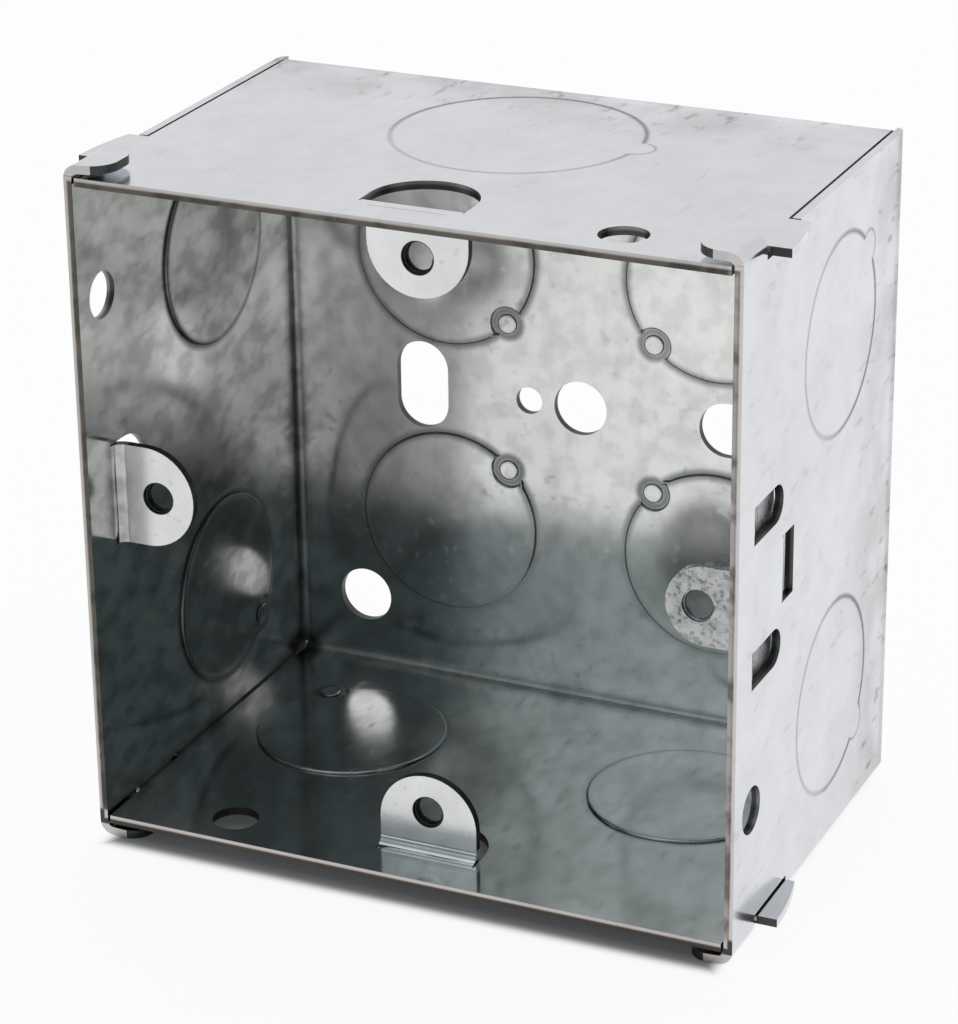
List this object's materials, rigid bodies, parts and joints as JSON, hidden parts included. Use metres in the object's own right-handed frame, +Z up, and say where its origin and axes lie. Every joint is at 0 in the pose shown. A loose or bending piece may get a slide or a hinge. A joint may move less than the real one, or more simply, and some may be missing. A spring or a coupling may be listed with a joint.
{
  "type": "switch box",
  "caption": "Open-fronted square wall box folded from galvanised sheet that holds a switch or socket, with inward screw lugs, a sliding side lug, cable knockouts and fixing slots in its back.",
  "frame": {"origin": "middle of the back panel's outer face", "axes": "+X to the right and +Z up as seen from the open front, +Y from the open front to the back"},
  "size_m": [0.076, 0.047, 0.0746],
  "materials": {
    "galvanised_sheet": "bright galvanised, faintly mottled",
    "lug_steel": "dull zinc plated"
  },
  "bodies": {
    "box": {"box_shell": "galvanised_sheet"},
    "lug": {"adjustable_lug": "lug_steel"}
  },
  "joints": [
    {"name": "lug_slide", "type": "slide", "parent": "box", "child": "lug", "axis": [0, 0, 1], "range_m": [0, 0.0029]}
  ]
}
